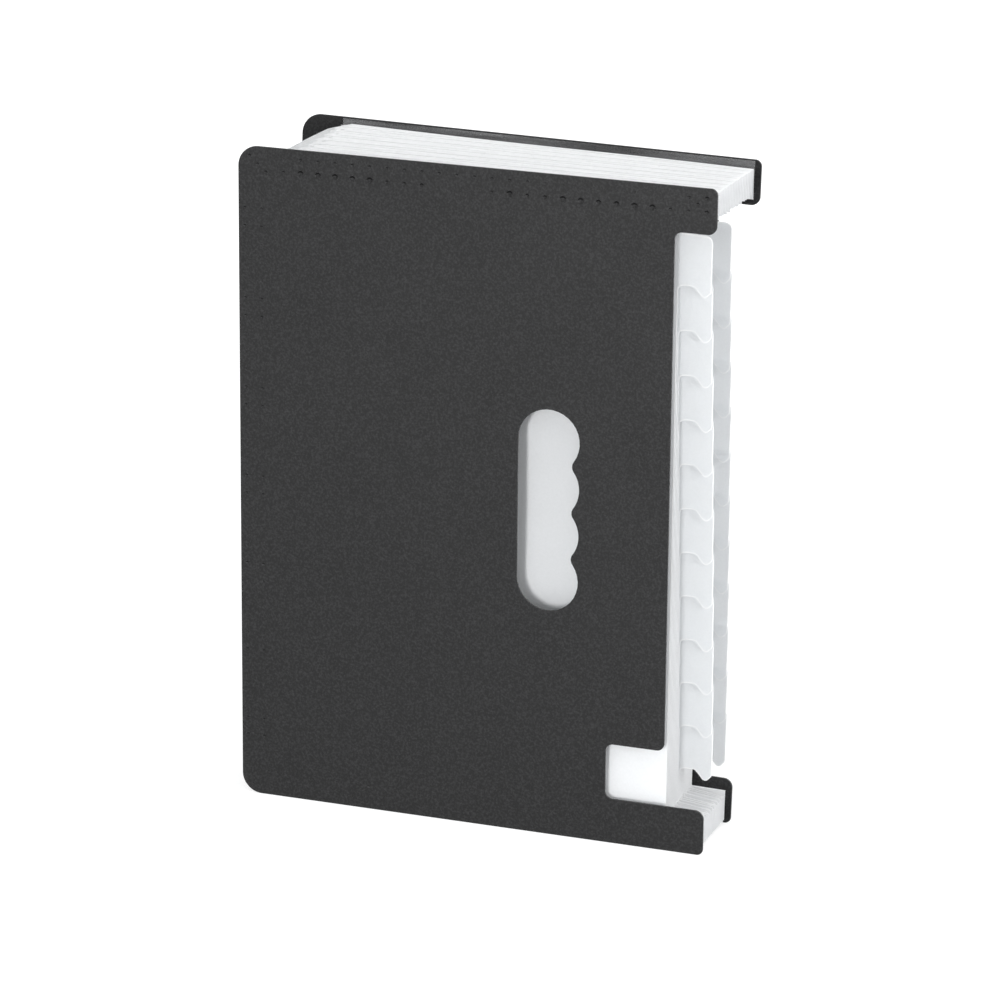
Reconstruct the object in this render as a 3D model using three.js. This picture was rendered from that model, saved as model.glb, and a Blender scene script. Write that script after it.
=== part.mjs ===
// Expanding file folder for A4 sheets, standing on a short side with its open side to the right.
// Millimetres, +Z up. The front cover faces -Y, the spine is at -X and the pockets open towards +X.
// Each sheet is drawn in its own frame: X from the spine edge, Y through the sheet, Z up from the foot.
import * as THREE from "three";

// Covers
const coverHeight = 335;
const coverWidth = 244.3;
const coverThickness = 1.2;
const spineCornerRadius = 10.3;

// Cut-back edge of a cover on the open side: an ear at each end, a tab recess, and a thumb notch in front
const upperEarHeight = 22.4;
const lowerEarHeight = 23;
const recessDepth = 20.9;
const notchDepth = 51;
const notchHeight = 28.5;
const earOuterRadius = 3.2;
const earInnerRadius = 4.5;
const cutRadius = 3.8;

// Finger hole, a slot with one scallop for each finger along the side nearer the open side
const holeWidth = 31.6;
const holeHeight = 102.1;
const holeFromSpine = 146;
const fingerCount = 4;
const scallopRidgeRadius = 4.5;

// Divider leaves, cut back on the open side between two ears that lie inside the gussets
const leafCount = 24;
const leafThickness = 0.3;
const leafSetback = 20.9;
const leafSpineRadius = 9.5;
const leafEarHeight = 13;
const leafEarRadius = 2;

// Index tabs, stepped down the open side in one column after another, each with a lobe at its lower end
const tabsPerColumn = 12;
const tabLength = 31.3;
const tabPitch = 22.8;
const tabTopMargin = 24.6;
const tabFilletRadius = 3;
const tabCornerRadius = 3.4;
const tabLobeWidth = 8.7;
const tabLobeDrop = 6.2;
const tabLobeTipInset = 3.6;
const tabLobeTipRise = 3.9;
const tabLobeRadius = 2.2;

// How the folder stands: depth over both covers at the foot of the open side, and how far it fans out
const footDepth = 47.5;
const spineSpread = 12.4;
const topSpread = 21.2;
const frontPocketDepth = 4.7;
const backPocketDepth = 2.7;

// Pleated gussets along the top, the foot and the spine
const filmThickness = 0.2;
const filmClearance = 0.15;
const pleatDepth = 14.2;
const foldGap = 0.3;
const topInset = 4.2;
const footInset = 1.9;
const spineInset = 3;
const openSideInset = 3.9;
const cornerOpening = 22.5;
const flapMargin = 0.6;

// Facets of the curves, per half arc
const coverArcSegments = 10;
const leafArcSegments = 2;

// Outline through corners given as [x, y, radius], each rounded inwards or outwards by its radius
function roundedOutline(corners) {
  const shape = new THREE.Shape();
  corners.forEach(([x, y, radius], i) => {
    const corner = new THREE.Vector2(x, y);
    const [beforeX, beforeY] = corners.at(i - 1);
    const [afterX, afterY] = corners[(i + 1) % corners.length];
    const back = new THREE.Vector2(beforeX, beforeY).sub(corner).normalize();
    const on = new THREE.Vector2(afterX, afterY).sub(corner).normalize();
    const halfAngle = Math.acos(back.dot(on)) / 2;
    const turnsLeft = on.cross(back) > 0;
    const middle = back.clone().add(on).normalize();
    const centre = corner.clone().addScaledVector(middle, radius / Math.sin(halfAngle));
    const reach = radius / Math.tan(halfAngle);
    const from = corner.clone().addScaledVector(back, reach).sub(centre);
    const to = corner.clone().addScaledVector(on, reach).sub(centre);
    shape.absarc(centre.x, centre.y, radius, from.angle(), to.angle(), !turnsLeft);
  });
  return shape;
}

// A flat sheet standing in the XZ plane, with its front face at y = front
function uprightSheet(outline, thickness, front, arcSegments) {
  const geometry = new THREE.ExtrudeGeometry(outline, {
    depth: thickness,
    bevelEnabled: false,
    curveSegments: arcSegments,
  });
  geometry.rotateX(Math.PI / 2);
  geometry.translate(0, front + thickness, 0);
  return geometry;
}

// The slot for the fingers: round lobes one finger apart, with a rounded ridge between neighbours
function fingerHole() {
  const lobeRadius = holeWidth / 2;
  const lobePitch = (holeHeight - holeWidth) / (fingerCount - 1);
  const lobeX = holeFromSpine + lobeRadius;
  const lowestZ = coverHeight / 2 - (holeHeight - holeWidth) / 2;
  const ridgeX = Math.sqrt((lobeRadius + scallopRidgeRadius) ** 2 - (lobePitch / 2) ** 2);
  const meetAngle = Math.atan2(lobePitch / 2, ridgeX);
  const path = new THREE.Path();
  for (let finger = 0; finger < fingerCount; finger++) {
    const z = lowestZ + finger * lobePitch;
    const first = finger === 0;
    const last = finger === fingerCount - 1;
    path.absarc(lobeX, z, lobeRadius, first ? Math.PI : -meetAngle, last ? Math.PI : meetAngle, false);
    if (!last) {
      const ridgeZ = z + lobePitch / 2;
      const start = Math.PI + meetAngle;
      path.absarc(lobeX + ridgeX, ridgeZ, scallopRidgeRadius, start, Math.PI - meetAngle, true);
    }
  }
  path.closePath();
  return path;
}

// The foot of the tab recess, which the front cover widens into the thumb notch
function recessFoot(notched) {
  const recessX = coverWidth - recessDepth;
  if (!notched) return [[recessX, lowerEarHeight, cutRadius]];
  const notchX = coverWidth - notchDepth;
  const notchTop = lowerEarHeight + notchHeight;
  return [
    [notchX, lowerEarHeight, cutRadius],
    [notchX, notchTop, cutRadius],
    [recessX, notchTop, cutRadius],
  ];
}

function coverOutline(notched) {
  const recessX = coverWidth - recessDepth;
  const upperEarFoot = coverHeight - upperEarHeight;
  const outline = roundedOutline([
    [0, 0, spineCornerRadius],
    [coverWidth, 0, earOuterRadius],
    [coverWidth, lowerEarHeight, earInnerRadius],
    ...recessFoot(notched),
    [recessX, upperEarFoot, cutRadius],
    [coverWidth, upperEarFoot, earInnerRadius],
    [coverWidth, coverHeight, earOuterRadius],
    [0, coverHeight, spineCornerRadius],
  ]);
  outline.holes.push(fingerHole());
  return outline;
}

// A divider with its tab; its top, foot and spine edges stop inside the gussets' outer folds
function leafOutline(tabIndex) {
  const left = spineInset + filmThickness + filmClearance;
  const cutX = coverWidth - leafSetback;
  const foot = footInset + filmThickness + filmClearance;
  const top = coverHeight - topInset - filmThickness - filmClearance;
  const tabX = coverWidth - openSideInset;
  const tabTop = coverHeight - tabTopMargin - (tabIndex % tabsPerColumn) * tabPitch;
  const lobeTip = tabTop - tabLength;
  return roundedOutline([
    [left, foot, leafSpineRadius],
    [tabX, foot, leafEarRadius],
    [tabX, foot + leafEarHeight, leafEarRadius],
    [cutX, foot + leafEarHeight, tabFilletRadius],
    [cutX, lobeTip + tabLobeDrop, tabFilletRadius],
    [tabX - tabLobeWidth, lobeTip + tabLobeDrop, tabLobeRadius],
    [tabX - tabLobeTipInset, lobeTip, tabLobeRadius],
    [tabX, lobeTip + tabLobeTipRise, tabLobeRadius],
    [tabX, tabTop, tabCornerRadius],
    [cutX, tabTop, tabFilletRadius],
    [cutX, top - leafEarHeight, tabFilletRadius],
    [tabX, top - leafEarHeight, leafEarRadius],
    [tabX, top, leafEarRadius],
    [left, top, leafSpineRadius],
  ]);
}

// Stands an object at a share of the fan: 0 is the front cover's outer face, 1 the back cover's
function standAt(object, share) {
  const lean = Math.atan((share * topSpread) / coverHeight);
  const swing = Math.atan((share * spineSpread) / coverWidth);
  object.position.set(0, share * (footDepth + spineSpread), 0);
  object.rotation.set(-lean, 0, -swing, "ZYX");
  object.updateMatrix();
  return object;
}

function leafShare(leafIndex) {
  const firstShare = frontPocketDepth / footDepth;
  const lastShare = 1 - backPocketDepth / footDepth;
  return firstShare + ((lastShare - firstShare) * leafIndex) / (leafCount - 1);
}

// Where the sheets stand, from the front cover through the leaves to the back cover
const standings = [
  standAt(new THREE.Object3D(), 0),
  ...Array.from({ length: leafCount }, (_, i) => standAt(new THREE.Object3D(), leafShare(i))),
  standAt(new THREE.Object3D(), 1),
];
const backCoverIndex = leafCount + 1;

// Section of a gusset: a flap on each cover, an outer fold over each leaf's edge, an inner fold between.
// pointOn(across, y) gives a point in a sheet's frame, with across measured inwards from the outer folds.
// The flaps reach outwards past the folds by flapReach.
function gussetSection(pointOn, flapReach) {
  const flapBack = coverThickness + filmClearance;
  const flapFront = flapBack + filmThickness;
  const halfLeafSlot = leafThickness / 2 + filmClearance;
  const halfFold = foldGap / 2;
  const onSheet = (sheet, across, y) => pointOn(across, y).applyMatrix4(standings[sheet].matrix);
  const inPocket = (pocket, across, y) => {
    if (pocket === 0) return onSheet(0, across, flapFront + halfFold + y);
    if (pocket === leafCount) return onSheet(backCoverIndex, across, -flapFront - halfFold + y);
    return onSheet(pocket, across, y).lerp(onSheet(pocket + 1, across, y), 0.5);
  };
  const outer = [onSheet(0, -flapReach, flapFront)];
  const inner = [onSheet(0, -flapReach, flapBack)];
  for (let pocket = 0; pocket <= leafCount; pocket++) {
    for (const side of [-1, 1]) {
      outer.push(inPocket(pocket, pleatDepth - filmThickness, side * halfFold));
      inner.push(inPocket(pocket, pleatDepth, side * (halfFold + filmThickness)));
    }
    if (pocket === leafCount) break;
    for (const side of [-1, 1]) {
      outer.push(onSheet(pocket + 1, 0, side * (halfLeafSlot + filmThickness)));
      inner.push(onSheet(pocket + 1, filmThickness, side * halfLeafSlot));
    }
  }
  outer.push(onSheet(backCoverIndex, -flapReach, -flapFront));
  inner.push(onSheet(backCoverIndex, -flapReach, -flapBack));
  return [...outer, ...inner.reverse()];
}

// Closed solid between two sections of a strip; flatten views a point from the strip's far end
function loft(startSection, endSection, flatten) {
  const turnsRight = THREE.ShapeUtils.isClockWise(startSection.map(flatten));
  const start = turnsRight ? startSection.toReversed() : startSection;
  const end = turnsRight ? endSection.toReversed() : endSection;
  const count = start.length;
  const triangles = [];
  for (const [a, b, c] of THREE.ShapeUtils.triangulateShape(start.map(flatten), [])) {
    triangles.push(a, c, b, a + count, b + count, c + count);
  }
  for (let i = 0; i < count; i++) {
    const next = (i + 1) % count;
    triangles.push(i, next, next + count, i, next + count, i + count);
  }
  return new THREE.BufferGeometry().setFromPoints([...start, ...end]).setIndex(triangles);
}

function gussetAlongX(acrossToZ, flapReach) {
  const pointAt = (x) => (across, y) => new THREE.Vector3(x, y, acrossToZ(across));
  const sectionAt = (x) => gussetSection(pointAt(x), flapReach);
  const flatten = (point) => new THREE.Vector2(point.y, point.z);
  return loft(sectionAt(cornerOpening), sectionAt(coverWidth - openSideInset), flatten);
}

function gussetAlongZ(acrossToX, flapReach) {
  const pointAt = (z) => (across, y) => new THREE.Vector3(acrossToX(across), y, z);
  const sectionAt = (z) => gussetSection(pointAt(z), flapReach);
  const flatten = (point) => new THREE.Vector2(point.x, point.y);
  return loft(sectionAt(cornerOpening), sectionAt(coverHeight - cornerOpening), flatten);
}

const charcoalSheet = () =>
  new THREE.MeshStandardMaterial({ color: 0x434344, roughness: 0.55, metalness: 0 });
const frostedLeaf = () =>
  new THREE.MeshStandardMaterial({ color: 0xe4e6ea, roughness: 0.45, metalness: 0 });
const frostedFilm = () =>
  new THREE.MeshStandardMaterial({ color: 0xf2f3f5, roughness: 0.4, metalness: 0 });

function named(name, geometry, material) {
  const mesh = new THREE.Mesh(geometry, material);
  mesh.name = name;
  return mesh;
}

const sheets = new THREE.Group();
const frontCover = uprightSheet(coverOutline(true), coverThickness, 0, coverArcSegments);
const backCover = uprightSheet(coverOutline(false), coverThickness, -coverThickness, coverArcSegments);
sheets.add(standAt(named("front_cover", frontCover, charcoalSheet()), 0));
for (let i = 0; i < leafCount; i++) {
  const leaf = uprightSheet(leafOutline(i), leafThickness, -leafThickness / 2, leafArcSegments);
  const name = `divider_${String(i + 1).padStart(2, "0")}`;
  sheets.add(standAt(named(name, leaf, frostedLeaf()), leafShare(i)));
}
sheets.add(standAt(named("back_cover", backCover, charcoalSheet()), 1));

const topGusset = gussetAlongX((across) => coverHeight - topInset - across, topInset - flapMargin);
const footGusset = gussetAlongX((across) => footInset + across, footInset - flapMargin);
const spineGusset = gussetAlongZ((across) => spineInset + across, spineInset - flapMargin);
sheets.add(named("top_gusset", topGusset, frostedFilm()));
sheets.add(named("bottom_gusset", footGusset, frostedFilm()));
sheets.add(named("spine_gusset", spineGusset, frostedFilm()));

// The part's origin is the middle of its footprint, at the height it stands on
const box = new THREE.Box3().setFromObject(sheets, true);
const centre = box.getCenter(new THREE.Vector3());
sheets.position.set(-centre.x, -centre.y, -box.min.z);

const folder = new THREE.Group();
folder.add(sheets);

export default folder;
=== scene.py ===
"""An expanding file folder for A4 sheets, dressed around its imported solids; lengths are in metres."""
import math
from collections import namedtuple

import bmesh
import bpy
from mathutils import Matrix, Vector


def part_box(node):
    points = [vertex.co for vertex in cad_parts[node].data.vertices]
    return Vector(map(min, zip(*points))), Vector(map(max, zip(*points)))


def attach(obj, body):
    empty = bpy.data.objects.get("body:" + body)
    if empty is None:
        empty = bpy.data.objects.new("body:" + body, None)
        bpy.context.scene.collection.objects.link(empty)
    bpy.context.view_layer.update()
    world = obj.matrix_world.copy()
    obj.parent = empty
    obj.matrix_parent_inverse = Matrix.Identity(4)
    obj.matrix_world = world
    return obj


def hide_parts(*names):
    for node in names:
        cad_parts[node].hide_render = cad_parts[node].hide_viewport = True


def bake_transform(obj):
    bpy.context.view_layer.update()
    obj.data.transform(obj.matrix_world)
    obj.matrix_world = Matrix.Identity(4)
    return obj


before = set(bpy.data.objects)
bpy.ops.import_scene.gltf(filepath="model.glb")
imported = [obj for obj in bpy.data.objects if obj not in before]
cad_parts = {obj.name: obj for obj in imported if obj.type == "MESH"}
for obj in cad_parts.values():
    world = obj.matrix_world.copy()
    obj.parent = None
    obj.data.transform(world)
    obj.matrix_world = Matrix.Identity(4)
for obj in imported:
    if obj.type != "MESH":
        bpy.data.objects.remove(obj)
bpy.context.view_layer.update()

# The view
# A long lens from the front right and a little above; the folder stands on the lower edges of its covers.
# Places are measured from the foot of the front cover's spine edge.
front_low, front_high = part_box("front_cover")
view_azimuth = math.radians(20.01)
view_elevation = math.radians(17.36)
view_roll = math.radians(0.54)
view_distance = 2.3194
view_sensor_mm = 36
view_lens_mm = 171.67
view_centre = front_low + Vector((0.13709, 0, 0.17012))
backward = Vector((
    math.sin(view_azimuth) * math.cos(view_elevation),
    -math.cos(view_azimuth) * math.cos(view_elevation),
    math.sin(view_elevation),
))
level = Vector((math.cos(view_azimuth), math.sin(view_azimuth), 0))
overhead = backward.cross(level)
rightward = level * math.cos(view_roll) + overhead * math.sin(view_roll)
upward = overhead * math.cos(view_roll) - level * math.sin(view_roll)
lens = bpy.data.cameras.new("camera")
lens.sensor_width = view_sensor_mm
lens.lens = view_lens_mm
camera = bpy.data.objects.new("camera", lens)
camera.matrix_world = Matrix((rightward, upward, backward)).transposed().to_4x4()
camera.matrix_world.translation = view_centre + backward * view_distance
bpy.context.scene.collection.objects.link(camera)
bpy.context.scene.camera = camera
bpy.context.scene.view_settings.view_transform = "Standard"

# The studio
# A pale sweep under soft light: a narrow softbox in front, broad ones overhead, at each end and behind,
# and pale walls. The camera sees the walls and the floor as white, and the floor keeps the shadow.
wall_light = (0.475, 0.487, 0.496, 1)
floor_size = 12
floor_shade = 0.45
floor_lift = 0.64
floor_lift_far = 1
floor_near = 0.5
floor_far = 2


def seen_directly(tree):
    """Is 1 for what is seen straight on, mirrored or through glass, and 0 for light that falls on things."""
    path = tree.nodes.new("ShaderNodeLightPath")
    total = None
    for ray in ("Is Camera Ray", "Is Glossy Ray", "Is Transmission Ray"):
        if total is None:
            total = path.outputs[ray]
            continue
        either = tree.nodes.new("ShaderNodeMath")
        either.operation = "MAXIMUM"
        tree.links.new(total, either.inputs[0])
        tree.links.new(path.outputs[ray], either.inputs[1])
        total = either.outputs[0]
    sharp = tree.nodes.new("ShaderNodeMath")
    sharp.operation = "SUBTRACT"
    sharp.use_clamp = True
    tree.links.new(total, sharp.inputs[0])
    tree.links.new(path.outputs["Is Diffuse Ray"], sharp.inputs[1])
    return sharp.outputs[0]


def softbox(name, place, aim, width, height, watts):
    """A soft rectangular lamp that faces a place."""
    lamp = bpy.data.lights.new(name, "AREA")
    lamp.shape = "RECTANGLE"
    lamp.size = width
    lamp.size_y = height
    lamp.energy = watts
    holder = bpy.data.objects.new(name, lamp)
    holder.rotation_mode = "QUATERNION"
    holder.location = place
    holder.rotation_quaternion = (aim - place).to_track_quat("-Z", "Y")
    bpy.context.scene.collection.objects.link(holder)


walls = bpy.data.worlds.new("walls")
walls.use_nodes = True
bpy.context.scene.world = walls
wall_tree = walls.node_tree
wall_glow = wall_tree.nodes["Background"]
wall_shade = wall_tree.nodes.new("ShaderNodeMixRGB")
wall_shade.inputs["Color1"].default_value = wall_light
wall_shade.inputs["Color2"].default_value = (1, 1, 1, 1)
wall_tree.links.new(seen_directly(wall_tree), wall_shade.inputs["Fac"])
wall_tree.links.new(wall_shade.outputs["Color"], wall_glow.inputs["Color"])

folder_middle = (front_low + front_high) / 2
softbox("front_softbox", Vector((-0.02, -2.1, 0.29)), folder_middle, width=0.3, height=0.55, watts=20)
softbox("overhead_softbox", Vector((0.15, -0.25, 1.45)), folder_middle, width=1.3, height=1.1, watts=6)
softbox("end_softbox", Vector((1.78, -0.55, 0.5)), folder_middle, width=1.1, height=1.1, watts=37)
softbox("spine_softbox", Vector((-1.7, -0.2, 0.9)), folder_middle, width=1.1, height=1.1, watts=16)
softbox("back_softbox", Vector((0.5, 1.9, 0.9)), folder_middle, width=1.4, height=1.2, watts=10)

floor_shape = bmesh.new()
bmesh.ops.create_grid(floor_shape, x_segments=1, y_segments=1, size=floor_size / 2)
floor_mesh = bpy.data.meshes.new("floor")
floor_shape.to_mesh(floor_mesh)
floor_shape.free()
floor = bpy.data.objects.new("floor", floor_mesh)
bpy.context.scene.collection.objects.link(floor)
sweep = bpy.data.materials.new("pale_sweep")
sweep.use_nodes = True
sweep_tree = sweep.node_tree
sweep_coat = sweep_tree.nodes["Principled BSDF"]
sweep_coat.inputs["Base Color"].default_value = (floor_shade, floor_shade, floor_shade, 1)
sweep_coat.inputs["Roughness"].default_value = 1
sweep_coat.inputs["Specular IOR Level"].default_value = 0
sweep_coat.inputs["Emission Color"].default_value = (1, 1, 1, 1)
sweep_lift = sweep_tree.nodes.new("ShaderNodeMapRange")
sweep_lift.inputs["From Min"].default_value = floor_near
sweep_lift.inputs["From Max"].default_value = floor_far
sweep_lift.inputs["To Min"].default_value = floor_lift
sweep_lift.inputs["To Max"].default_value = floor_lift_far
sweep_place = sweep_tree.nodes.new("ShaderNodeTexCoord")
sweep_distance = sweep_tree.nodes.new("ShaderNodeVectorMath")
sweep_distance.operation = "LENGTH"
sweep_tree.links.new(sweep_place.outputs["Object"], sweep_distance.inputs[0])
sweep_tree.links.new(sweep_distance.outputs["Value"], sweep_lift.inputs["Value"])
sweep_seen = sweep_tree.nodes.new("ShaderNodeMath")
sweep_seen.operation = "MULTIPLY"
sweep_tree.links.new(seen_directly(sweep_tree), sweep_seen.inputs[0])
sweep_tree.links.new(sweep_lift.outputs["Result"], sweep_seen.inputs[1])
sweep_tree.links.new(sweep_seen.outputs[0], sweep_coat.inputs["Emission Strength"])
floor_mesh.materials.append(sweep)

# Covers
# Two stiff sheets of sanded charcoal polypropylene, die cut with a finger hole and a cut-back edge.
# The flaps of the gussets are spot welded behind them, which presses rows of small pits along three edges.
cut_edge_round = 0.00018
rim_angle = math.radians(60)
flat_angle = math.radians(1)
broad_face = 0.9
merge_distance = 1e-6
pit_pitch = 0.00897
pit_rows = (0.0117, 0.0050)
first_pit = 0.0239
lower_row_firmness = (
    0.3, 0.9, 0.9, 1, 0.9, 1, 0.4, 0.4, 0.6, 0, 0, 0, 0.35, 1, 0.5,
    0.55, 0.9, 0.9, 0.8, 0.9, 1, 1, 0.4, 0.3, 0.6,
)
upper_row_firmness = (
    0.25, 0.3, 0.3, 0.3, 0.35, 0.3, 0.3, 0.35, 0.4, 0.35, 0.3, 0.3, 0.3, 0.3, 0.3,
    0.25, 0.2, 0, 0, 0.2, 0.25, 0, 0, 0.35, 0.6,
)
spine_pit_columns = (0.0034, 0.0121)
first_spine_pit = 0.0219
corner_pits = ((0.006, 0.0049), (0.0103, 0.0089), (0.0146, 0.0125))
ear_pit = 0.0081
ear_pit_steps = len(lower_row_firmness) - 1.5
foot_row_share = 0.25
spine_firmness = 0.22
spine_firmness_swing = 0.08
spine_firmness_step = 1.3
corner_firmness = 0.4
foot_corner_firmness = 0.25
pit_radius = 0.0017
pit_radius_share = 0.3
pit_depth = 0.00085
pit_bowl = ((0, 1), (0.35, 0.93), (0.65, 0.68), (0.88, 0.3))
pit_slant = 0.5
pit_sides = 12
punch_lip = 0.00002
punch_head = 0.0003
charcoal = (0.0105, 0.0105, 0.0108, 1)
charcoal_speck = (0.029, 0.029, 0.030, 1)
charcoal_cut = (0.030, 0.030, 0.031, 1)
# Painted shade: the upper walls of the pits get these darker charcoals, for the shadow inside each pit.
charcoal_pit_shade = (0.008, 0.008, 0.0083, 1)
charcoal_faint_pit_shade = (0.009, 0.009, 0.0093, 1)
mark_depth = 0.1
firm_press = 0.45
faint_press = 0.26


def standing(node):
    """How a sheet stands: turns a place on it, from its spine edge, foot and middle, into the frame."""
    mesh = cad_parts[node].data
    through = max((f for f in mesh.polygons if f.normal.y > broad_face), key=lambda f: f.area).normal
    along = Vector((through.y, -through.x, 0)).normalized()
    up = along.cross(through)
    depths = [through.dot(v.co) for v in mesh.vertices]
    middle = (min(depths) + max(depths)) / 2
    matrix = Matrix((along, through, up)).transposed().to_4x4()
    matrix.translation = (front_low.x, (middle - through.x * front_low.x) / through.y, 0)
    return matrix


def sheet_blank(node):
    """A sheet's solid as clean flat faces, lying in its own frame."""
    shape = bmesh.new()
    shape.from_mesh(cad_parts[node].data)
    bmesh.ops.remove_doubles(shape, verts=shape.verts, dist=merge_distance)
    bmesh.ops.dissolve_limit(shape, angle_limit=flat_angle, verts=shape.verts, edges=shape.edges)
    bmesh.ops.transform(shape, matrix=standing(node).inverted(), verts=shape.verts)
    return shape


def round_cut_edges(shape, radius, segments):
    """Rounds the rim of a die-cut sheet, where its broad faces meet its edge."""
    rim = [e for e in shape.edges if len(e.link_faces) == 2 and e.calc_face_angle() > rim_angle]
    bmesh.ops.bevel(
        shape, geom=rim, offset=radius, offset_type="OFFSET", affect="EDGES",
        segments=segments, profile=0.5, material=-1,
    )


def finished(name, shape, materials):
    """The object of a finished shape, in place."""
    mesh = bpy.data.meshes.new(name)
    shape.to_mesh(mesh)
    shape.free()
    for material in materials:
        mesh.materials.append(material)
    piece = bpy.data.objects.new(name, mesh)
    bpy.context.scene.collection.objects.link(piece)
    return piece


def sanded_charcoal():
    """Charcoal sheet: dark grey with paler grains, a matt sheen, and a fine sand-like relief."""
    material = bpy.data.materials.new("sanded_charcoal")
    material.use_nodes = True
    tree = material.node_tree
    coat = tree.nodes["Principled BSDF"]
    coat.inputs["Specular IOR Level"].default_value = 0.2
    place = tree.nodes.new("ShaderNodeTexCoord")
    grains = tree.nodes.new("ShaderNodeTexNoise")
    grains.inputs["Scale"].default_value = 900
    grains.inputs["Detail"].default_value = 4
    grains.inputs["Roughness"].default_value = 0.7
    patches = tree.nodes.new("ShaderNodeTexNoise")
    patches.inputs["Scale"].default_value = 22
    patches.inputs["Detail"].default_value = 4
    tree.links.new(place.outputs["Object"], grains.inputs["Vector"])
    tree.links.new(place.outputs["Object"], patches.inputs["Vector"])
    speck = tree.nodes.new("ShaderNodeValToRGB")
    speck.color_ramp.elements[0].position = 0.44
    speck.color_ramp.elements[0].color = charcoal
    speck.color_ramp.elements[1].position = 0.66
    speck.color_ramp.elements[1].color = charcoal_speck
    tree.links.new(grains.outputs["Fac"], speck.inputs["Fac"])
    tree.links.new(speck.outputs["Color"], coat.inputs["Base Color"])
    rough = tree.nodes.new("ShaderNodeMapRange")
    rough.inputs["From Min"].default_value = 0.3
    rough.inputs["From Max"].default_value = 0.7
    rough.inputs["To Min"].default_value = 0.48
    rough.inputs["To Max"].default_value = 0.58
    tree.links.new(patches.outputs["Fac"], rough.inputs["Value"])
    tree.links.new(rough.outputs["Result"], coat.inputs["Roughness"])
    relief = tree.nodes.new("ShaderNodeBump")
    relief.inputs["Strength"].default_value = 0.5
    relief.inputs["Distance"].default_value = 0.00012
    tree.links.new(grains.outputs["Fac"], relief.inputs["Height"])
    tree.links.new(relief.outputs["Normal"], coat.inputs["Normal"])
    return material


def smooth_charcoal(name, shade, gloss, roughness):
    """Smoother charcoal with faint marks: cut rims, where the sand finish is cut away, and painted shade in
    the pits.
    """
    material = bpy.data.materials.new(name)
    material.use_nodes = True
    tree = material.node_tree
    coat = tree.nodes["Principled BSDF"]
    coat.inputs["Base Color"].default_value = shade
    coat.inputs["Specular IOR Level"].default_value = gloss
    place = tree.nodes.new("ShaderNodeTexCoord")
    marks = tree.nodes.new("ShaderNodeTexNoise")
    marks.inputs["Scale"].default_value = 700
    tree.links.new(place.outputs["Object"], marks.inputs["Vector"])
    rough = tree.nodes.new("ShaderNodeMapRange")
    rough.inputs["To Min"].default_value = roughness - mark_depth
    rough.inputs["To Max"].default_value = roughness + mark_depth
    tree.links.new(marks.outputs["Fac"], rough.inputs["Value"])
    tree.links.new(rough.outputs["Result"], coat.inputs["Roughness"])
    return material


sanded = sanded_charcoal()
cut_rim = smooth_charcoal("cut_charcoal", charcoal_cut, gloss=0.3, roughness=0.4)
# Painted shade for the upper walls of the pits, darker for the firm welds than for the faint ones.
pit_shade = smooth_charcoal("painted_pit_shade", charcoal_pit_shade, gloss=0.08, roughness=0.3)
faint_pit_shade = smooth_charcoal("painted_faint_pit_shade", charcoal_faint_pit_shade, gloss=0.1, roughness=0.5)
cover_skins = [sanded, cut_rim]
pit_skins = [pit_shade, faint_pit_shade, sanded]


def pit_places(width, height):
    """Where the welds lie on a cover: across, up, and how firm each weld is, from 0 to 1."""
    places = []
    for i, firmness in enumerate(zip(lower_row_firmness, upper_row_firmness)):
        x = first_pit + i * pit_pitch
        for depth, firm in zip(pit_rows, firmness):
            places.append((x, height - depth, firm))
            places.append((x, depth, foot_row_share * firm))
    steps = round((height - 2 * first_spine_pit) / pit_pitch)
    for i in range(steps + 1):
        z = first_spine_pit + i * (height - 2 * first_spine_pit) / steps
        firm = spine_firmness + spine_firmness_swing * math.sin(spine_firmness_step * i)
        for x in spine_pit_columns:
            places.append((x, z, firm))
    for x, z in corner_pits:
        places.append((x, height - z, corner_firmness))
        places.append((x, z, foot_corner_firmness))
    places.append((first_pit + pit_pitch * ear_pit_steps, height - ear_pit, corner_firmness))
    return [place for place in places if place[2] > 0]


def pit_punch(places, face, outward):
    """One punch for all pits of a cover: a bowl each, turned on an axis and slanted up, upper half in
    painted shade.
    """
    punch = bmesh.new()
    for x, z, firm in places:
        radius = pit_radius * (pit_radius_share + (1 - pit_radius_share) * firm)
        depth = pit_depth * firm
        profile = [(radius * r, -depth * d) for r, d in pit_bowl]
        profile += [(radius, punch_lip), (radius, punch_head), (0, punch_head)]
        ring = [punch.verts.new((x + r, face + outward * y, z)) for r, y in profile]
        chain = [punch.edges.new(pair) for pair in zip(ring, ring[1:])]
        before = set(punch.faces)
        bmesh.ops.spin(
            punch, geom=ring + chain, cent=(x, face, z), axis=(0, 1, 0), angle=2 * math.pi,
            steps=pit_sides, use_merge=True,
        )
        turned = set(punch.faces) - before
        for side in turned:
            # The upper half of each firm pit carries painted shade; the lower half keeps the sanded
            # charcoal.
            shaded_upper_wall = side.calc_center_median().z > z
            skin = sanded
            if shaded_upper_wall and firm > faint_press:
                skin = pit_shade if firm > firm_press else faint_pit_shade
            side.material_index = pit_skins.index(skin)
        for v in {v for side in turned for v in side.verts}:
            v.co.z += pit_slant * max(0, (face - v.co.y) * outward)
    bmesh.ops.remove_doubles(punch, verts=punch.verts, dist=2 * merge_distance)
    bmesh.ops.recalc_face_normals(punch, faces=punch.faces)
    return punch


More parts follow.
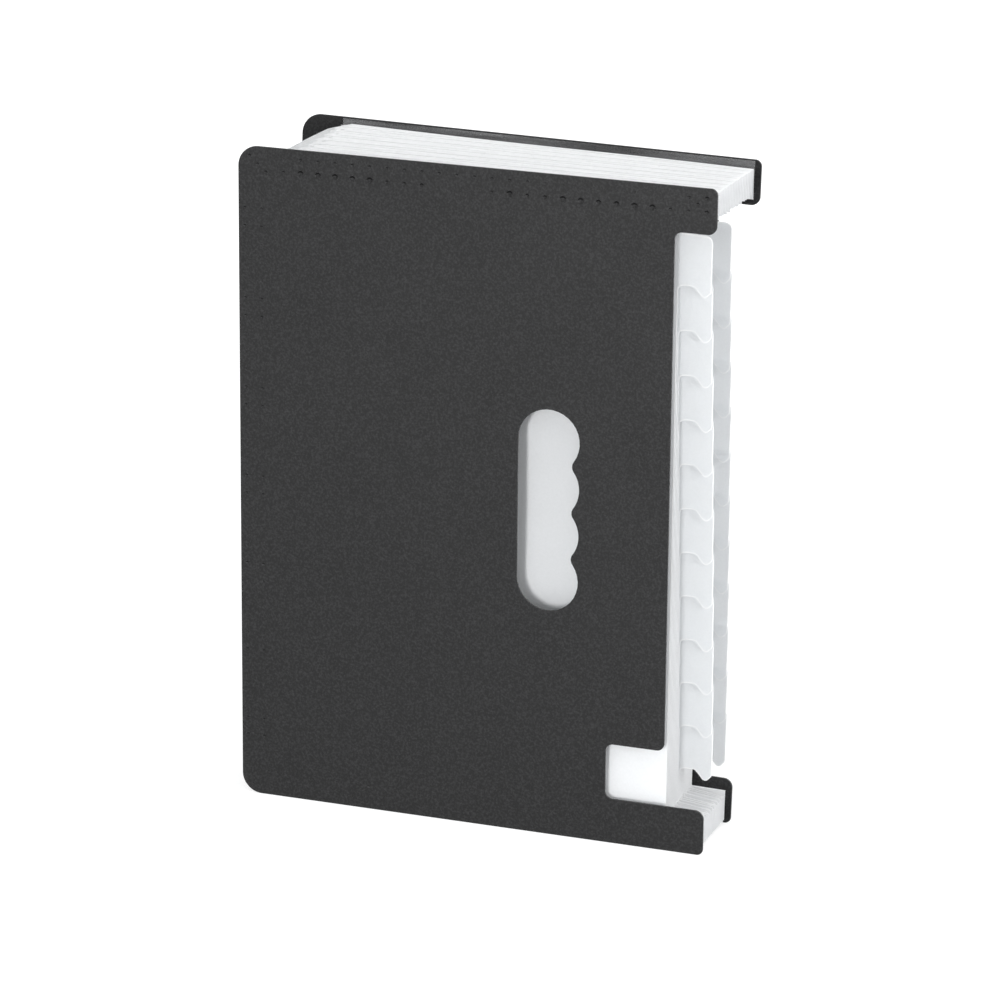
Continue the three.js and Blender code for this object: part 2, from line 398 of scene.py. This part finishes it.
cover_width = front_high.x - front_low.x
cover_height = front_high.z - front_low.z
cover_half = (front_high.y - front_low.y) / 2
for node, outward in (("front_cover", -1), ("back_cover", 1)):
    blank = sheet_blank(node)
    round_cut_edges(blank, cut_edge_round, segments=2)
    for face in blank.faces:
        face.material_index = cover_skins.index(sanded if abs(face.normal.y) > broad_face else cut_rim)
    cover = finished(node + "_sheet", blank, cover_skins)
    pits = pit_punch(pit_places(cover_width, cover_height), outward * cover_half, outward)
    punch = finished("punch", pits, pit_skins)
    cut = cover.modifiers.new("pits", "BOOLEAN")
    cut.operation = "DIFFERENCE"
    cut.solver = "EXACT"
    cut.material_mode = "TRANSFER"
    cut.object = punch
    bpy.context.view_layer.update()
    pitted = bpy.data.meshes.new_from_object(cover.evaluated_get(bpy.context.evaluated_depsgraph_get()))
    cover.modifiers.clear()
    bpy.data.objects.remove(punch)
    cover.data = pitted
    pitted.transform(standing(node))
    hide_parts(node)
    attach(cover, node)

# Dividers
# Twenty-four leaves of frosted polypropylene, each with one index tab, the tabs stepped in two columns.
# Their edges sit in the gussets' outer folds; the front ones sag back a little, and the open side bows.
leaf_count = 24
leaf_corner_round = 0.020
leaf_corner_cuts = 9
leaf_edge_round = 0.00006
# Width of the paler band along each leaf's edges, a painted highlight for the bright lines of its cut edges.
leaf_highlight_band = 0.0004
leaf_rows = 18
leaf_columns = 12
leaf_bow = 0.00035
leaf_bow_turn = 5.2
leaf_bow_step = 0.22
leaf_sag = 0.0085
tab_root = 0.2234
tab_milk = (0.905, 0.915, 0.92, 1)
tab_through = (0.91, 0.92, 0.93, 1)
# Painted light: the leaf body is paler and reflects more than its tab, for light sent back by the stack
# behind.
leaf_milk_painted_light = (0.965, 0.975, 0.985, 1)
leaf_through = (0.945, 0.965, 0.985, 1)
# Painted highlight: the leaves' cut edges and a thin band beside them are paler, so they read as bright
# lines.
rim_milk_painted_highlight = (0.985, 0.985, 0.985, 1)
cloud_shade = 0.97
clear_swing = 0.12
frost_depth = 0.08


def round_spine_corners(shape, radius, cuts):
    """Trims the two corners of a leaf at the spine to a wide arc, which the strips of film leave open."""
    left = min(v.co.x for v in shape.verts)
    foot = min(v.co.z for v in shape.verts)
    top = max(v.co.z for v in shape.verts)
    for corner, up in ((top, 1), (foot, -1)):
        for cut in range(1, cuts + 1):
            turn = math.pi / 2 * cut / (cuts + 1)
            outward = Vector((-math.cos(turn), 0, up * math.sin(turn)))
            on_arc = Vector((left + radius, 0, corner - up * radius)) + radius * outward
            everything = shape.verts[:] + shape.edges[:] + shape.faces[:]
            bmesh.ops.bisect_plane(
                shape, geom=everything, plane_co=on_arc, plane_no=outward, clear_outer=True,
            )
            bmesh.ops.holes_fill(shape, edges=shape.edges, sides=0)


def frosted(name, milk, through, spread_share, clear, roughness, grain_scale, stretch):
    """Milky polypropylene: light comes back from it, spreads through it, or passes by its clear share."""
    material = bpy.data.materials.new(name)
    material.use_nodes = True
    tree = material.node_tree
    coat = tree.nodes["Principled BSDF"]
    coat.inputs["Specular IOR Level"].default_value = 0.4
    place = tree.nodes.new("ShaderNodeTexCoord")
    drawn = tree.nodes.new("ShaderNodeMapping")
    drawn.inputs["Scale"].default_value = stretch
    tree.links.new(place.outputs["Object"], drawn.inputs["Vector"])
    grain = tree.nodes.new("ShaderNodeTexNoise")
    grain.inputs["Scale"].default_value = grain_scale
    grain.inputs["Detail"].default_value = 3
    tree.links.new(drawn.outputs["Vector"], grain.inputs["Vector"])
    cloud = tree.nodes.new("ShaderNodeValToRGB")
    cloud.color_ramp.elements[0].position = 0.3
    cloud.color_ramp.elements[0].color = [cloud_shade * c for c in milk[:3]] + [1]
    cloud.color_ramp.elements[1].position = 0.7
    cloud.color_ramp.elements[1].color = milk
    tree.links.new(grain.outputs["Fac"], cloud.inputs["Fac"])
    tree.links.new(cloud.outputs["Color"], coat.inputs["Base Color"])
    rough = tree.nodes.new("ShaderNodeMapRange")
    rough.inputs["To Min"].default_value = roughness - frost_depth
    rough.inputs["To Max"].default_value = roughness + frost_depth
    tree.links.new(grain.outputs["Fac"], rough.inputs["Value"])
    tree.links.new(rough.outputs["Result"], coat.inputs["Roughness"])
    relief = tree.nodes.new("ShaderNodeBump")
    relief.inputs["Strength"].default_value = 0.12
    relief.inputs["Distance"].default_value = 0.00005
    tree.links.new(grain.outputs["Fac"], relief.inputs["Height"])
    tree.links.new(relief.outputs["Normal"], coat.inputs["Normal"])
    spread = tree.nodes.new("ShaderNodeBsdfTranslucent")
    spread.inputs["Color"].default_value = through
    milky = tree.nodes.new("ShaderNodeMixShader")
    milky.inputs["Fac"].default_value = spread_share
    tree.links.new(coat.outputs["BSDF"], milky.inputs[1])
    tree.links.new(spread.outputs["BSDF"], milky.inputs[2])
    see_through = tree.nodes.new("ShaderNodeBsdfTransparent")
    share = tree.nodes.new("ShaderNodeMapRange")
    share.inputs["From Min"].default_value = 0.3
    share.inputs["From Max"].default_value = 0.7
    share.inputs["To Min"].default_value = min(1, clear * (1 + clear_swing))
    share.inputs["To Max"].default_value = clear * (1 - clear_swing)
    tree.links.new(grain.outputs["Fac"], share.inputs["Value"])
    whole = tree.nodes.new("ShaderNodeMixShader")
    tree.links.new(share.outputs["Result"], whole.inputs["Fac"])
    tree.links.new(milky.outputs["Shader"], whole.inputs[1])
    tree.links.new(see_through.outputs["BSDF"], whole.inputs[2])
    tree.links.new(whole.outputs["Shader"], tree.nodes["Material Output"].inputs["Surface"])
    return material


even_grain = (1, 1, 1)
# The body's material, more reflective than the tab's: painted light for what the stack of leaves sends back.
frosted_leaf_painted_light = frosted(
    "frosted_leaf_painted_light", leaf_milk_painted_light, leaf_through,
    spread_share=0.2, clear=0.04, roughness=0.45, grain_scale=900, stretch=even_grain,
)
frosted_tab = frosted(
    "frosted_tab", tab_milk, tab_through,
    spread_share=0.6, clear=0.06, roughness=0.45, grain_scale=900, stretch=even_grain,
)
frosted_rim_painted_highlight = frosted(
    "frosted_rim_painted_highlight", rim_milk_painted_highlight, rim_milk_painted_highlight,
    spread_share=0.35, clear=0.08, roughness=0.35, grain_scale=1200, stretch=even_grain,
)
leaf_skins = [frosted_leaf_painted_light, frosted_rim_painted_highlight, frosted_tab]
leaf_names = [f"divider_{i + 1:02d}" for i in range(leaf_count)]
for i, node in enumerate(leaf_names):
    blank = sheet_blank(node)
    for side in (-1, 1):
        whole_side = [f for f in blank.faces if f.normal.y * side > broad_face]
        bmesh.ops.dissolve_faces(blank, faces=whole_side, use_verts=True)
    round_spine_corners(blank, leaf_corner_round, leaf_corner_cuts)
    round_cut_edges(blank, leaf_edge_round, segments=1)
    broad = [f for f in blank.faces if abs(f.normal.y) > broad_face]
    # The edge faces and a thin band inset along them get the paler rim material, a painted highlight.
    for face in blank.faces:
        face.material_index = leaf_skins.index(frosted_rim_painted_highlight)
    bmesh.ops.inset_region(blank, faces=broad, thickness=leaf_highlight_band, use_even_offset=True)
    for face in broad:
        face.material_index = leaf_skins.index(frosted_leaf_painted_light)
    everything = blank.verts[:] + blank.edges[:] + blank.faces[:]
    bmesh.ops.bisect_plane(blank, geom=everything, plane_co=(tab_root, 0, 0), plane_no=(1, 0, 0))
    for face in blank.faces:
        inside_rim = face.material_index == leaf_skins.index(frosted_leaf_painted_light)
        if inside_rim and face.calc_center_median().x > tab_root:
            face.material_index = leaf_skins.index(frosted_tab)
    low_x, high_x = min(v.co.x for v in blank.verts), max(v.co.x for v in blank.verts)
    low_z, high_z = min(v.co.z for v in blank.verts), max(v.co.z for v in blank.verts)
    for step in range(1, leaf_rows):
        height = low_z + (high_z - low_z) * step / leaf_rows
        everything = blank.verts[:] + blank.edges[:] + blank.faces[:]
        bmesh.ops.bisect_plane(blank, geom=everything, plane_co=(0, 0, height), plane_no=(0, 0, 1))
    for step in range(1, leaf_columns):
        across = low_x + (high_x - low_x) * step / leaf_columns
        everything = blank.verts[:] + blank.edges[:] + blank.faces[:]
        bmesh.ops.bisect_plane(blank, geom=everything, plane_co=(across, 0, 0), plane_no=(1, 0, 0))
    for v in blank.verts:
        side = (v.co.x - low_x) / (high_x - low_x)
        rise = (v.co.z - low_z) / (high_z - low_z)
        middle = (math.sin(math.pi * side) * math.sin(math.pi * rise)) ** 2
        v.co.y += leaf_sag * (1 - i / (leaf_count - 1)) * middle
        out = max(0, 2 * side - 1)
        wave = math.sin(leaf_bow_turn * rise + leaf_bow_step * i)
        v.co.y += leaf_bow * out * out * math.sin(math.pi * rise) * wave
    leaf = finished(node + "_leaf", blank, leaf_skins)
    leaf.data.transform(standing(node))
    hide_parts(node)
    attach(leaf, node)

# Pleats
# Thin glossy film folded like an accordion along top, foot and spine, and open at the spine corners.
# An outer fold is welded over each leaf's edge, and a flap at each end to the inside of the cover.
film_thickness = 0.00016
film_gap = 0.00025
fold_share = 0.30
inner_fold_share = 0.06
cover_fold_radius = 0.0003
fold_lift = 0.0004
fold_lift_step = 1.9
fold_lift_turn = 31
spine_lift = 0.0017
fold_slack = 0.0008
fold_slack_step = 2.7
fold_slack_turn = 23
wall_bow = 0.00016
wall_bow_step = 2.2
wall_bow_turn = 27
end_dip = 0.0012
end_dip_length = 0.0065
open_end_rise = 0.0022
open_end_length = 0.016
end_spread = 0.0035
end_spread_step = 2.4
end_spread_start = 3.66
film_milk = (0.975, 0.98, 0.988, 1)
film_through = (0.98, 0.985, 0.99, 1)
# The film's fold arcs are a little paler and less clear than its walls.
fold_milk = (0.985, 0.987, 0.99, 1)
strip_stations = 25
row_slip = 0.01
top_low, top_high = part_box("top_gusset")
foot_low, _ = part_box("bottom_gusset")
spine_low, spine_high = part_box("spine_gusset")
outer_level = {"top": high_z + film_gap, "foot": low_z - film_gap, "spine": low_x - film_gap}
flap_edge = {"top": top_high.z, "foot": foot_low.z, "spine": spine_low.x - front_low.x}
pleat_depth = spine_high.x - front_low.x - outer_level["spine"]
corner_opening = top_low.x - front_low.x
open_end = top_high.x - front_low.x
sheet_names = ["front_cover", *leaf_names, "back_cover"]
stands = [standing(name) for name in sheet_names]
level_grain = (0.05, 1, 1)
upright_grain = (1, 1, 0.05)
film_level = frosted(
    "film_along_top", film_milk, film_through,
    spread_share=0.28, clear=0.08, roughness=0.32, grain_scale=240, stretch=level_grain,
)
film_upright = frosted(
    "film_along_spine", film_milk, film_through,
    spread_share=0.28, clear=0.08, roughness=0.32, grain_scale=240, stretch=upright_grain,
)
film_fold = frosted(
    "paler_fold", fold_milk, film_through,
    spread_share=0.28, clear=0.06, roughness=0.3, grain_scale=500, stretch=even_grain,
)
flap_level = frosted(
    "flap_along_top", film_milk, film_through,
    spread_share=0.5, clear=0.87, roughness=0.32, grain_scale=240, stretch=level_grain,
)
flap_upright = frosted(
    "flap_along_spine", film_milk, film_through,
    spread_share=0.5, clear=0.87, roughness=0.32, grain_scale=240, stretch=upright_grain,
)
films = [film_level, film_upright, film_fold, flap_level, flap_upright]
FilmPoint = namedtuple("FilmPoint", "by inward off turn")


def on_strip(strip, run, inward):
    """A place on a sheet: run along the strip, and inward from the outer folds of that strip."""
    if strip == "top":
        return run, outer_level["top"] - inward
    if strip == "foot":
        return run, outer_level["foot"] + inward
    return outer_level["spine"] + inward, run


def pleat_profile(pocket, flap_reach):
    """Points across one pocket, from the sheet ahead of it to the sheet behind it."""
    quarter = [math.radians(t) for t in (0, 30, 60, 90)]
    round_inner = [math.radians(t) for t in (-90, -45, 0, 45, 90)]
    wall_end = pleat_depth - cover_fold_radius
    points = []
    if pocket == 0:
        near = cover_half + film_gap
        points.append(FilmPoint("ahead", -flap_reach, near, None))
        points.append(FilmPoint("ahead", 0, near, None))
        points.append(FilmPoint("ahead", wall_end, near, None))
        points.append(FilmPoint("ahead", pleat_depth, near + cover_fold_radius, None))
        points.append(FilmPoint("ahead", wall_end, near + 2 * cover_fold_radius, None))
    else:
        points += [FilmPoint("ahead", 0, 0, turn) for turn in quarter]
    if 0 < pocket < leaf_count:
        points += [FilmPoint("between", pleat_depth, 0, turn) for turn in round_inner]
    if pocket == leaf_count:
        near = -cover_half - film_gap
        points.append(FilmPoint("behind", wall_end, near - 2 * cover_fold_radius, None))
        points.append(FilmPoint("behind", pleat_depth, near - cover_fold_radius, None))
        points.append(FilmPoint("behind", wall_end, near, None))
        points.append(FilmPoint("behind", 0, near, None))
        points.append(FilmPoint("behind", -flap_reach, near, None))
    else:
        points += [FilmPoint("behind", 0, 0, -turn) for turn in reversed(quarter)]
    return points


def film_place(strip, pocket, point, run):
    """Where a point of the profile lies at a place along the strip, with the film's slack and waves."""
    by, inward, offset, turn = point
    sheet = pocket + (by == "behind")
    wave = {"top": 0, "foot": 1, "spine": 2}[strip]
    spot = Vector((*on_strip(strip, run, 0), 0)).xzy
    spacing = (stands[2] @ spot - stands[1] @ spot).length
    if by == "between":
        radius = inner_fold_share * spacing
        inward -= radius * (1 - math.cos(turn))
        offset += radius * math.sin(turn)
        inward += fold_slack * math.sin(fold_slack_step * pocket + fold_slack_turn * run + wave)
        if strip != "spine":
            inward -= open_end_rise * max(0, 1 - (open_end - run) / open_end_length)
    elif turn is not None:
        radius = fold_share * spacing
        inward += radius * (1 - math.cos(turn))
        offset += radius * math.sin(turn)
        inward += end_dip * max(0, 1 - (run - corner_opening) / end_dip_length) ** 2
        lift = math.sin(fold_lift_step * sheet + fold_lift_turn * run + wave)
        inward -= fold_lift * (0.5 + 0.5 * lift)
        if strip == "top":
            inward -= spine_lift * (sheet / leaf_count) ** 2 * (1 - run / open_end)
    x, z = on_strip(strip, run, inward)
    if by == "between":
        return (stands[pocket] @ Vector((x, offset, z)) + stands[pocket + 1] @ Vector((x, offset, z))) / 2
    return stands[sheet] @ Vector((x, offset, z))


for pocket in range(leaf_count + 1):
    bellows = bmesh.new()
    for strip in ("top", "foot", "spine"):
        profile = pleat_profile(pocket, abs(flap_edge[strip] - outer_level[strip]))
        last = len(profile) - 1
        spread = math.sin(end_spread_step * pocket + end_spread_start)
        near_end = corner_opening - end_spread * (0.5 + 0.5 * spread)
        far_end = cover_height - corner_opening if strip == "spine" else open_end
        grid = bmesh.ops.create_grid(
            bellows, x_segments=strip_stations - 1, y_segments=2 * last, size=0.5,
        )
        for face in {f for v in grid["verts"] for f in v.link_faces}:
            row = int((face.calc_center_median().y + 0.5) * last)
            near, far = profile[row], profile[row + 1]
            film = film_upright if strip == "spine" else film_level
            if abs(near.inward - far.inward) < 2 * cover_fold_radius:
                film = film_fold
            elif near.turn is None and far.turn is None:
                film = flap_upright if strip == "spine" else flap_level
            face.material_index = films.index(film)
        for v in grid["verts"]:
            run = near_end + (far_end - near_end) * (v.co.x + 0.5)
            row = (v.co.y + 0.5) * last
            near, far = profile[math.floor(row + row_slip)], profile[math.ceil(row - row_slip)]
            v.co = (film_place(strip, pocket, near, run) + film_place(strip, pocket, far, run)) / 2
            if abs(near.inward - far.inward) > pleat_depth / 2:
                v.co.y += wall_bow * math.sin(wall_bow_step * pocket + wall_bow_turn * run + 2 * row)
    bmesh.ops.recalc_face_normals(bellows, faces=bellows.faces)
    pleats = finished(f"pleats_{pocket + 1:02d}", bellows, films)
    wall = pleats.modifiers.new("film", "SOLIDIFY")
    wall.thickness = film_thickness
    wall.offset = 0
    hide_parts("top_gusset", "bottom_gusset", "spine_gusset")
    ahead, behind = stands[pocket], stands[pocket + 1]
    across = (ahead.col[1].xyz + behind.col[1].xyz).normalized()
    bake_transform(pleats)
